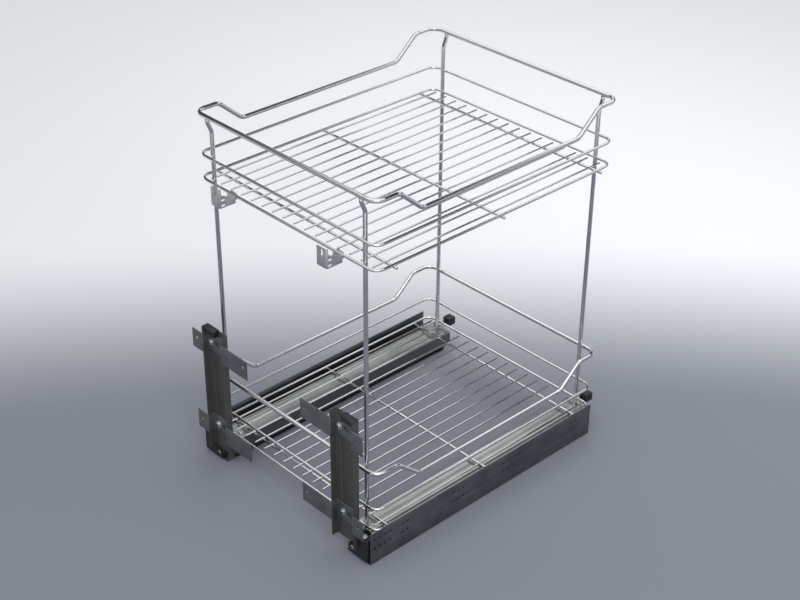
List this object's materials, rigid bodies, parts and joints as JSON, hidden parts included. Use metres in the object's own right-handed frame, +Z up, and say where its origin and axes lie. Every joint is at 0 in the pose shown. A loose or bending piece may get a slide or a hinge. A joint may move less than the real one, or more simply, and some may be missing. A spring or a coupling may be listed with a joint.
{
  "type": "pull-out base basket",
  "caption": "Two-tier chromed wire basket on full-extension concealed runners, with posts and brackets for a cabinet door.",
  "frame": {"origin": "on the cabinet floor, in the middle of the part's width and depth", "axes": "+X to the right seen from the door, +Y from the door to the back of the cabinet, +Z up"},
  "size_m": [0.406, 0.5552, 0.6133],
  "materials": {
    "chrome_wire": "bright chrome plate over drawn steel wire",
    "outer_runner_steel": "dull zinc plate on cold-rolled sheet",
    "bright_runner_steel": "bright zinc plate on cold-rolled sheet",
    "inner_runner_steel": "zinc plate, lightly greased",
    "ball_steel": "polished bearing steel",
    "post_steel": "dark powder coat on folded sheet",
    "bracket_steel": "zinc plate on pressed sheet",
    "bright_fastener": "bright zinc plate",
    "black_plastic": "moulded black polyamide"
  },
  "bodies": {
    "cabinet_members": {"left_cabinet_member": "outer_runner_steel", "left_fixed_rail": "inner_runner_steel", "left_rail_rivets": "inner_runner_steel", "left_stop_buffer": "black_plastic", "right_cabinet_member": "outer_runner_steel", "right_fixed_rail": "inner_runner_steel", "right_rail_rivets": "inner_runner_steel", "right_stop_buffer": "black_plastic"},
    "left_middle": {"left_middle_member": "inner_runner_steel"},
    "left_lower_cage": {"left_lower_ball_cage": "black_plastic", "left_lower_balls": "ball_steel"},
    "left_upper_cage": {"left_upper_ball_cage": "black_plastic", "left_upper_balls": "ball_steel"},
    "right_middle": {"right_middle_member": "inner_runner_steel"},
    "right_lower_cage": {"right_lower_ball_cage": "black_plastic", "right_lower_balls": "ball_steel"},
    "right_upper_cage": {"right_upper_ball_cage": "black_plastic", "right_upper_balls": "ball_steel"},
    "carriage": {"bracket_screws": "bright_fastener", "bracket_washers": "bright_fastener", "clip_clamp_plates": "bracket_steel", "clip_clamp_screws": "bright_fastener", "left_base_block": "black_plastic", "left_base_screws": "bright_fastener", "left_door_clip": "bracket_steel", "left_door_post": "post_steel", "left_front_upright": "chrome_wire", "left_lower_door_bracket": "bracket_steel", "left_moving_profile": "bright_runner_steel", "left_post_cap": "black_plastic", "left_rear_hook": "black_plastic", "left_rear_upright": "chrome_wire", "left_upper_door_bracket": "bracket_steel", "lower_cross_wires": "chrome_wire", "lower_floor_ring": "chrome_wire", "lower_floor_wires": "chrome_wire", "lower_rim_ring": "chrome_wire", "lower_top_ring": "chrome_wire", "right_base_block": "black_plastic", "right_base_screws": "bright_fastener", "right_door_clip": "bracket_steel", "right_door_post": "post_steel", "right_front_upright": "chrome_wire", "right_lower_door_bracket": "bracket_steel", "right_moving_profile": "bright_runner_steel", "right_post_cap": "black_plastic", "right_rear_hook": "black_plastic", "right_rear_upright": "chrome_wire", "right_upper_door_bracket": "bracket_steel", "upper_cross_wires": "chrome_wire", "upper_floor_ring": "chrome_wire", "upper_floor_wires": "chrome_wire", "upper_rim_ring": "chrome_wire", "upper_top_ring": "chrome_wire"}
  },
  "joints": [
    {"name": "carriage_slide", "type": "slide", "parent": "cabinet_members", "child": "carriage", "axis": [0, -1, 0], "range_m": [0, 0.47]},
    {"name": "left_middle_slide", "type": "slide", "parent": "cabinet_members", "child": "left_middle", "axis": [0, -1, 0], "range_m": [0, 0.235]},
    {"name": "left_lower_cage_slide", "type": "slide", "parent": "cabinet_members", "child": "left_lower_cage", "axis": [0, -1, 0], "range_m": [0, 0.1175]},
    {"name": "left_upper_cage_slide", "type": "slide", "parent": "cabinet_members", "child": "left_upper_cage", "axis": [0, -1, 0], "range_m": [0, 0.3525]},
    {"name": "right_middle_slide", "type": "slide", "parent": "cabinet_members", "child": "right_middle", "axis": [0, -1, 0], "range_m": [0, 0.235]},
    {"name": "right_lower_cage_slide", "type": "slide", "parent": "cabinet_members", "child": "right_lower_cage", "axis": [0, -1, 0], "range_m": [0, 0.1175]},
    {"name": "right_upper_cage_slide", "type": "slide", "parent": "cabinet_members", "child": "right_upper_cage", "axis": [0, -1, 0], "range_m": [0, 0.3525]}
  ],
  "couplings": [
    {"joint": "left_middle_slide", "follows": "carriage_slide", "ratio": 0.5},
    {"joint": "left_lower_cage_slide", "follows": "carriage_slide", "ratio": 0.25},
    {"joint": "left_upper_cage_slide", "follows": "carriage_slide", "ratio": 0.75},
    {"joint": "right_middle_slide", "follows": "carriage_slide", "ratio": 0.5},
    {"joint": "right_lower_cage_slide", "follows": "carriage_slide", "ratio": 0.25},
    {"joint": "right_upper_cage_slide", "follows": "carriage_slide", "ratio": 0.75}
  ]
}
